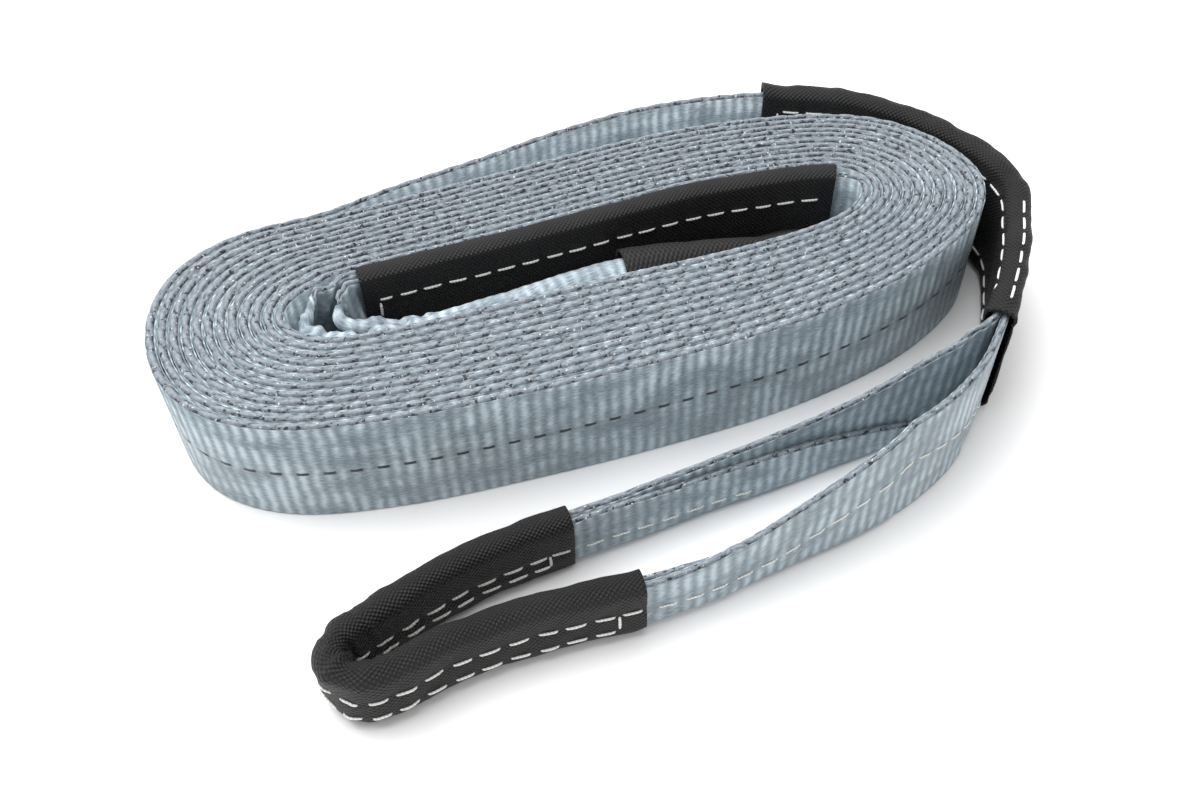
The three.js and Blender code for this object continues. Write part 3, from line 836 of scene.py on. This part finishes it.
innerLeg = {
    "points": 31,
    "tightest": 1.55,  # radius of the fold
    "flatBelow": 0.8,  # radius at which the fold has run out
    "edgeDrop": 0.7,
    "wander": 0.6,
    "looseLeftOf": -45,  # the web lies in loose creases from here to the left
    "looseSpan": 30,
    "looseFade": 14,
    "tightEnd": 60,  # length at the strip's end without creases
    "crease": 1.9,
    "billow": 1.5,
    "sag": 0.6,
}


def innerEyeRoute():
    # columns: x, y, top, low, fold radius; the fold is up, and opens out towards the eye's sleeve
    start, end = innerMain[-1, :2], returnedInner[-1]
    w = web["width"] + sleeveLift
    low = np.full(len(innerEye), 1.0)
    low[[0, -1]] = sleeveLift
    stops = np.column_stack([innerEye[:, :3], low, innerEye[:, 3]])
    eye = openSpline(np.vstack([[*start, w, sleeveLift, 0], stops, [*end, w, sleeveLift, 0]]))[:, :5]
    return joinLayers(innerMain[:, :2], eye, returnedInner)


def archedCentre(top, low, radius):
    # the web rises on its outer side, goes over a half circle and comes down on the inner side: angle
    # = pi x smooth((v - start) / (pi x radius)); where the radius is small the web stands flat
    p = innerLeg
    w = web["betweenEdges"]
    v = np.linspace(0, w, p["points"])
    bend = np.maximum(radius, p["tightest"])
    arc = np.pi * bend
    start = np.minimum(top - webHalf - bend - low, w - arc - 2)
    start = start + (w + 2 - start) * (1 - smooth(radius / p["flatBelow"]))
    over = np.pi * smooth((v[None, :] - start[:, None]) / arc[:, None])
    a, z = walked(over, v[1] - v[0])
    a += (bend * (start < w))[:, None]
    z += (top - webHalf - z.max(1))[:, None]
    z += np.maximum(0, low + web["edgeRise"] - z.min(1))[:, None]
    return np.stack([a, z], -1)


def addInnerEye():
    rows = innerEyeRoute()
    s = lengthsOf(rows)
    p = innerLeg
    top = rows[:, 2] - p["edgeDrop"] + p["wander"] * ripple(s, 4, 120)
    centre = archedCentre(top, rows[:, 3], np.maximum(rows[:, 4], 0))
    loose = smooth((p["looseLeftOf"] - rows[:, 0]) / p["looseSpan"]) * smooth(s / p["looseFade"])
    loose = (loose * smooth((s[-1] - s - p["tightEnd"]) / p["looseFade"]))[:, None]
    v = np.linspace(0, web["width"], p["points"])
    centre[..., 0] += loose * p["crease"] * ripple(s[:, None] + 0.5 * v, 3, 21)
    centre[..., 1] += loose * (p["billow"] * ripple(s[:, None] + 0.4 * v, 6, 13) - p["sag"])
    half = np.full(len(rows), webHalf - web["eyeSlack"])
    addStrip("web_inner_eye", rows[:, :2], centre, half, s, 0.6, sideALeft=False, footPads=True)
    return rows


innerRows = addInnerEye()
print("inner eye made")


# Sleeves: tubes of black cloth

sleeveShape = {
    "sidePoints": 17,
    "arcPoints": 11,
    "rowStep": 1.2,
    "wall": 0.8,
    "foot": 0.3,  # above the floor
}


def bell(height, at, width):
    # 1 at the given height, falling off on both sides of it
    return np.exp(-((height - at) / width)**2)


def coveredRows(rows, first, last):
    # rows of a web between the places nearest to two points, at a sleeve's step, and those places
    ends = [np.argmin(np.linalg.norm(rows[:, :2] - point, axis=1)) for point in (first, last)]
    return evenRows(rows[ends[0]:ends[1] + 1], sleeveShape["rowStep"]), ends


def sleeveSection(half, low, top, swell, roundTop=0.95):
    # side A down, round the bottom, side B up and over the top: straight sides between two half
    # ellipses; swell(share up the side, share along) pushes the cloth out along the section's normal
    p = sleeveShape
    rows = len(half)
    share = np.linspace(0, 1, p["sidePoints"])
    over, under = (half * roundTop)[:, None], (half * 0.95)[:, None]
    zTop, zLow = top[:, None] - over, low[:, None] + under
    down = zTop + (zLow - zTop) * share
    turn = np.linspace(0, np.pi, p["arcPoints"] + 2)[1:-1]
    h = half[:, None]
    a = np.concatenate([np.repeat(h, len(share), 1), h * np.cos(turn), np.repeat(-h, len(share), 1),
                        -h * np.cos(turn)], 1)
    z = np.concatenate([down, zLow - under * np.sin(turn), down[:, ::-1], zTop + over * np.sin(turn)], 1)
    ring = np.stack([a, z], -1)
    along = np.roll(ring, -1, 1) - np.roll(ring, 1, 1)
    along /= np.linalg.norm(along, axis=2)[..., None]
    normal = np.stack([-along[..., 1], along[..., 0]], -1)
    height = (z - low[:, None]) / (top - low)[:, None]
    outer = ring + normal * swell(height, np.sign(a) * np.ones((rows, 1)))[..., None]
    inner = ring - normal * p["wall"]
    return outer, inner


def ringAt(side, height):
    # place in the ring of a point on a side: side 1 is A, -1 is B; height is its share up the side
    last = sleeveShape["sidePoints"] - 1
    if side > 0:
        return last * (1 - height)
    return sleeveShape["sidePoints"] + sleeveShape["arcPoints"] + last * height


def addSleeve(name, node, xy, half, low, top, swell, sideALeft, roundTop=0.95):
    s = lengthsOf(xy)

    def swellHere(height, side):
        return swell(s[:, None], height, side)

    outer, inner = sleeveSection(half, low, top, swellHere, roundTop)
    left = sideways(xy)
    sign = (1 if sideALeft else -1, 1)
    outside = standUp(xy, left, outer * sign)
    inside = standUp(xy, left, inner * sign)
    grid = np.concatenate([outside, inside[::-1]])
    along = np.concatenate([s, s[::-1]]) * mm
    middleRing = outside[len(s) // 2]
    ringLength = np.linalg.norm(np.diff(middleRing, axis=0, append=middleRing[:1]), axis=1)
    across = np.concatenate([[0], np.cumsum(ringLength)]) * mm
    piece = gridMesh(name, grid, along, across, sleeveFinish, flip=not sideALeft, wrap=True)
    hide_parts(node)
    return {"grid": outside, "s": s}


stitch = {
    "pitch": 9.6,
    "length": 7.4,
    "radius": 0.46,
    "rise": 0.3,
    "dip": 0.7,  # of a stitch's ends into the cloth
    "onWeb": 0.34,  # radius of the thread on bare web
    "alongPoints": 9,
    "roundPoints": 6,
}
threads = []


def onSurface(surface, s, ring):
    # point and outward direction on a sleeve's grid, between its rows and ring points
    grid = surface["grid"]
    count = grid.shape[1]
    row = np.interp(s, surface["s"], np.arange(len(grid)))

    def at(i, j):
        i0 = np.clip(np.floor(i).astype(int), 0, len(grid) - 2)
        j0 = np.floor(j).astype(int)
        fi, fj = (i - i0)[:, None], (j - j0)[:, None]
        near = grid[i0, j0 % count] * (1 - fj) + grid[i0, (j0 + 1) % count] * fj
        far = grid[i0 + 1, j0 % count] * (1 - fj) + grid[i0 + 1, (j0 + 1) % count] * fj
        return near * (1 - fi) + far * fi

    point = at(row, ring)
    middle = grid.mean(1)[np.clip(np.round(row).astype(int), 0, len(grid) - 1)]
    out = np.cross(at(row + 0.4, ring) - at(row - 0.4, ring), at(row, ring + 0.4) - at(row, ring - 0.4))
    out /= np.linalg.norm(out, axis=1)[:, None]
    middle[:, 2] = point[:, 2] * 0.8 + middle[:, 2] * 0.2
    flip = np.sign(((point - middle) * out).sum(1))[:, None]
    return point, out * np.where(flip == 0, 1, flip)


def addThread(points, out, radius):
    # tube round a line of points: lifted off the cloth in its middle and drawn into it at both ends
    share = np.linspace(0, 1, len(points))
    lift = stitch["rise"] * np.sin(np.pi * share)**0.35 - stitch["dip"] * (np.abs(2 * share - 1)**8)
    line = points + out * lift[:, None]
    run = np.gradient(line, axis=0)
    run /= np.linalg.norm(run, axis=1)[:, None]
    side = np.cross(run, out)
    side /= np.linalg.norm(side, axis=1)[:, None]
    up = np.cross(side, run)
    turn = np.linspace(0, 2 * np.pi, stitch["roundPoints"], endpoint=False)
    size = radius * (1 - 0.35 * np.abs(2 * share - 1)**4)[:, None, None]
    ring = np.cos(turn)[None, :, None] * side[:, None] * 1.15 + np.sin(turn)[None, :, None] * up[:, None]
    threads.append(line[:, None] + ring * size)


def stitchLine(surface, stops, offset=0.0, radius=stitch["radius"]):
    # running stitch through stops of (length along, ring place), one stitch in each pitch
    stops = np.asarray(stops, float)
    points, _ = onSurface(surface, stops[:, 0], stops[:, 1])
    fine = np.linspace(0, 1, 400)
    spread = np.linspace(0, 1, len(stops))
    if len(stops) > 2:
        gaps = np.linalg.norm(np.diff(points, axis=0), axis=1)
        spread = np.concatenate([[0], np.cumsum(gaps)]) / gaps.sum()
    sAt = np.interp(fine, spread, stops[:, 0])
    jAt = np.interp(fine, spread, stops[:, 1])
    line, _ = onSurface(surface, sAt, jAt)
    run = np.concatenate([[0], np.cumsum(np.linalg.norm(np.diff(line, axis=0), axis=1))])
    number = 0
    start = offset
    while start + stitch["length"] * 0.5 < run[-1]:
        end = min(start + stitch["length"] * (1 + 0.06 * math.sin(number * 2.1)), run[-1])
        at = np.linspace(start, end, stitch["alongPoints"])
        wander = 0.18 * math.sin(number * 3.7)
        p, n = onSurface(surface, np.interp(at, run, sAt), np.interp(at, run, jAt) + wander * 0.1)
        addThread(p, n, radius)
        number += 1
        start += stitch["pitch"]


def addThreads(name):
    # all tubes of the list in one mesh, each closed by its narrow end rings
    grids = np.array(threads)
    count, rows, ring = grids.shape[:3]
    i, j = np.meshgrid(np.arange(rows - 1), np.arange(ring), indexing="ij")
    quads = np.stack([i * ring + j, i * ring + (j + 1) % ring, (i + 1) * ring + (j + 1) % ring,
                      (i + 1) * ring + j], -1).reshape(-1, 4)
    ends = np.array([np.arange(ring)[::-1], (rows - 1) * ring + np.arange(ring)])
    base = (np.arange(count) * rows * ring)[:, None, None]
    allQuads = (quads[None] + base).reshape(-1, 4)
    allEnds = (ends[None] + base).reshape(-1, ring)
    mesh = bpy.data.meshes.new(name)
    mesh.from_pydata(place(grids.reshape(-1, 3)).tolist(), [], allQuads.tolist() + allEnds.tolist())
    mesh.polygons.foreach_set("use_smooth", np.ones(len(mesh.polygons), bool))
    layer = mesh.uv_layers.new(name="UVMap")
    index = np.empty(len(mesh.loops), np.int32)
    mesh.loops.foreach_get("vertex_index", index)
    uv = np.column_stack([(index // ring) % rows * stitch["length"] / rows, (index % ring) * 0.5]) * mm
    layer.data.foreach_set("uv", uv.astype(np.float32).ravel())
    piece = bpy.data.objects.new(name, mesh)
    bpy.context.scene.collection.objects.link(piece)
    mesh.materials.append(threadFinish)
    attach(piece, "root")
    return piece


outerSplice = {
    "half": 4.4,
    "top": 52.5,
    "flare": 1.3,
    "cornerRise": 1.5,  # of the cloth's upper corner where the splice starts
    "seam": 0.87,  # height of the upper seam, as a share of the sleeve's
}


def addOuterSplice():
    p = outerSplice
    xy = evenRows(outerSpine, sleeveShape["rowStep"])
    s = lengthsOf(xy)
    n = len(xy)
    length = s[-1]
    half = np.full(n, p["half"]) + p["flare"] * smooth((s - length + 16) / 16)
    top = p["top"] + 0.5 * ripple(s, 6, 70) + p["cornerRise"] * np.exp(-(s / 6)**2)
    low = np.full(n, sleeveShape["foot"])

    def swell(s, height, side):
        # drawn in along the two seams, round between them, with short folds square to the seams
        seams = bell(height, p["seam"], 0.04) + bell(height, 1 - p["seam"], 0.04)
        pucker = 0.5 + 0.5 * np.cos(2 * np.pi * s / stitch["pitch"])
        edge = bell(height, 0.96, 0.1)
        return (-0.7 * seams * (0.7 + 0.3 * pucker) + 0.5 * edge * (0.8 + ripple(s + 30 * side, 2, 26))
                + 0.25 * ripple(s + 40 * height, 9, 33))

    sleeve = addSleeve("outer_splice_cover", "outer_splice_sleeve", xy, half, low, top, swell, True, 0.7)
    for side in (1, -1):
        for height in (p["seam"], 1 - p["seam"]):
            stitchLine(sleeve, [(7, ringAt(side, height)), (length - 4, ringAt(side, height))], 2.0 * height)
        stitchLine(sleeve, [(7, ringAt(side, p["seam"])), (5, ringAt(side, 1 - p["seam"]))], 0.5)
    over = sleeveShape["sidePoints"] * 2 + sleeveShape["arcPoints"] + 6
    stitchLine(sleeve, [(length - 62, over), (length - 6, over)], 0.5)


innerSplice = {
    "half": 4.25,
    "top": 52.2,
    "roundTop": 0.45,
    "seam": 0.77,
    "bar": (0.76, 0.2),  # heights between which the seam turns down at its right end
}


def addInnerSplice():
    p = innerSplice
    xy = evenRows(innerSpine, sleeveShape["rowStep"])
    s = lengthsOf(xy)
    n = len(xy)
    half = np.full(n, p["half"])
    low = np.full(n, sleeveShape["foot"])
    top = p["top"] + 0.3 * ripple(s, 5, 90)

    def swell(s, height, side):
        return -0.45 * bell(height, p["seam"], 0.04) + 0.2 * ripple(s + 30 * height, 7, 40)

    sleeve = addSleeve("inner_splice_cover", "inner_splice_sleeve", xy, half, low, top, swell, True,
                       p["roundTop"])
    seam = ringAt(1, p["seam"])
    barTop, barFoot = (ringAt(1, height) for height in p["bar"])
    stitchLine(sleeve, [(5, seam), (s[-1] - 6, seam)], 1.0)
    stitchLine(sleeve, [(s[-1] - 6, barTop), (s[-1] - 5, barFoot)], 1.0)


outerEyeCover = {
    "half": 5.0,
    "top": 29.4,
    "outerSeams": (0.56, 0.11),  # heights of the two seams, as shares of the sleeve's
    "innerSeams": (0.42, 0.16),
}


def addOuterEyeSleeve():
    mouth = outerSpine[-1]
    rows, (first, last) = coveredRows(outerRows, mouth + outerEye[8, :2], mouth + outerEye[22, :2])
    xy = rows[:, :2]
    s = lengthsOf(xy)
    n = len(xy)
    p = outerEyeCover
    half = np.full(n, p["half"])
    top = p["top"] + 0.4 * ripple(s, 5, 60)
    tipAt = s[np.argmin(xy[:, 0])]

    def swell(s, height, side):
        tip = np.exp(-((s - tipAt) / 24)**2)
        seams = 0
        for seam in (0, 1):
            at = np.where(side > 0, p["outerSeams"][seam], p["innerSeams"][seam])
            seams = seams + bell(height, at, 0.07)
        pinch = tip * (side < 0) * np.abs(ripple(s + 5 * height, 1, 15))
        return (-0.5 * seams + 0.35 * ripple(s + 30 * height, 7, 30) + tip * ripple(s + 8 * height, 1, 14)
                + 1.8 * pinch)

    low = np.full(n, sleeveShape["foot"])
    sleeve = addSleeve("outer_eye_cover", "outer_eye_sleeve", xy, half, low, top, swell, True)
    for side, seams in ((1, p["outerSeams"]), (-1, p["innerSeams"])):
        for height in seams:
            stitchLine(sleeve, [(9, ringAt(side, height)), (s[-1] - 9, ringAt(side, height))], 1.0)
        stitchLine(sleeve, [(1, ringAt(side, seams[0])), (8.6, ringAt(side, seams[0]))], 0.0)
        stitchLine(sleeve, [(s[-1] - 8.6, ringAt(side, seams[0])), (s[-1] - 1, ringAt(side, seams[0]))], 0.0)
        for at in (9.0, s[-1] - 9.0):
            stitchLine(sleeve, [(at, ringAt(side, seams[0])), (at, ringAt(side, seams[1]))], 0.2)
    # rows of thread that run on along the web from the sleeve: on the front leg, then on the back leg
    begin, end = outerWeb["s"][first], outerWeb["s"][last]
    per = (foldedLeg["points"] - 1) / web["betweenEdges"]
    front = [(begin - 3, 14), (begin - 50, 21), (begin - 105, 20), (30, 30), (14, 40)]
    stitchLine(outerWeb, [(at, down * per) for at, down in front], 1.5, stitch["onWeb"])
    stitchLine(outerWeb, [(end + 3, 32.5 * per), (end + 75, 33 * per)], 1.5, stitch["onWeb"])


innerEyeCover = {
    "foot": 0.5,
    "above": 1.2,  # of the sleeve's top over the web's
    "around": 2.5,  # of the sleeve's half thickness over the radius of the web's fold
    "tightest": 1.5,
}


def addInnerEyeSleeve():
    p = innerEyeCover
    rows, _ = coveredRows(innerRows, innerEye[8, :2], innerEye[16, :2])
    half = np.maximum(rows[:, 4], p["tightest"]) + p["around"]
    low = np.full(len(rows), p["foot"])
    top = rows[:, 2] + p["above"]

    def swell(s, height, side):
        return 0.25 * ripple(s + 20 * height, 7, 26)

    addSleeve("inner_eye_cover", "inner_eye_sleeve", rows[:, :2], half, low, top, swell, False)


addOuterSplice()
addInnerSplice()
addOuterEyeSleeve()
addInnerEyeSleeve()
addThreads("sewing_thread")
print("sleeves and stitches made")
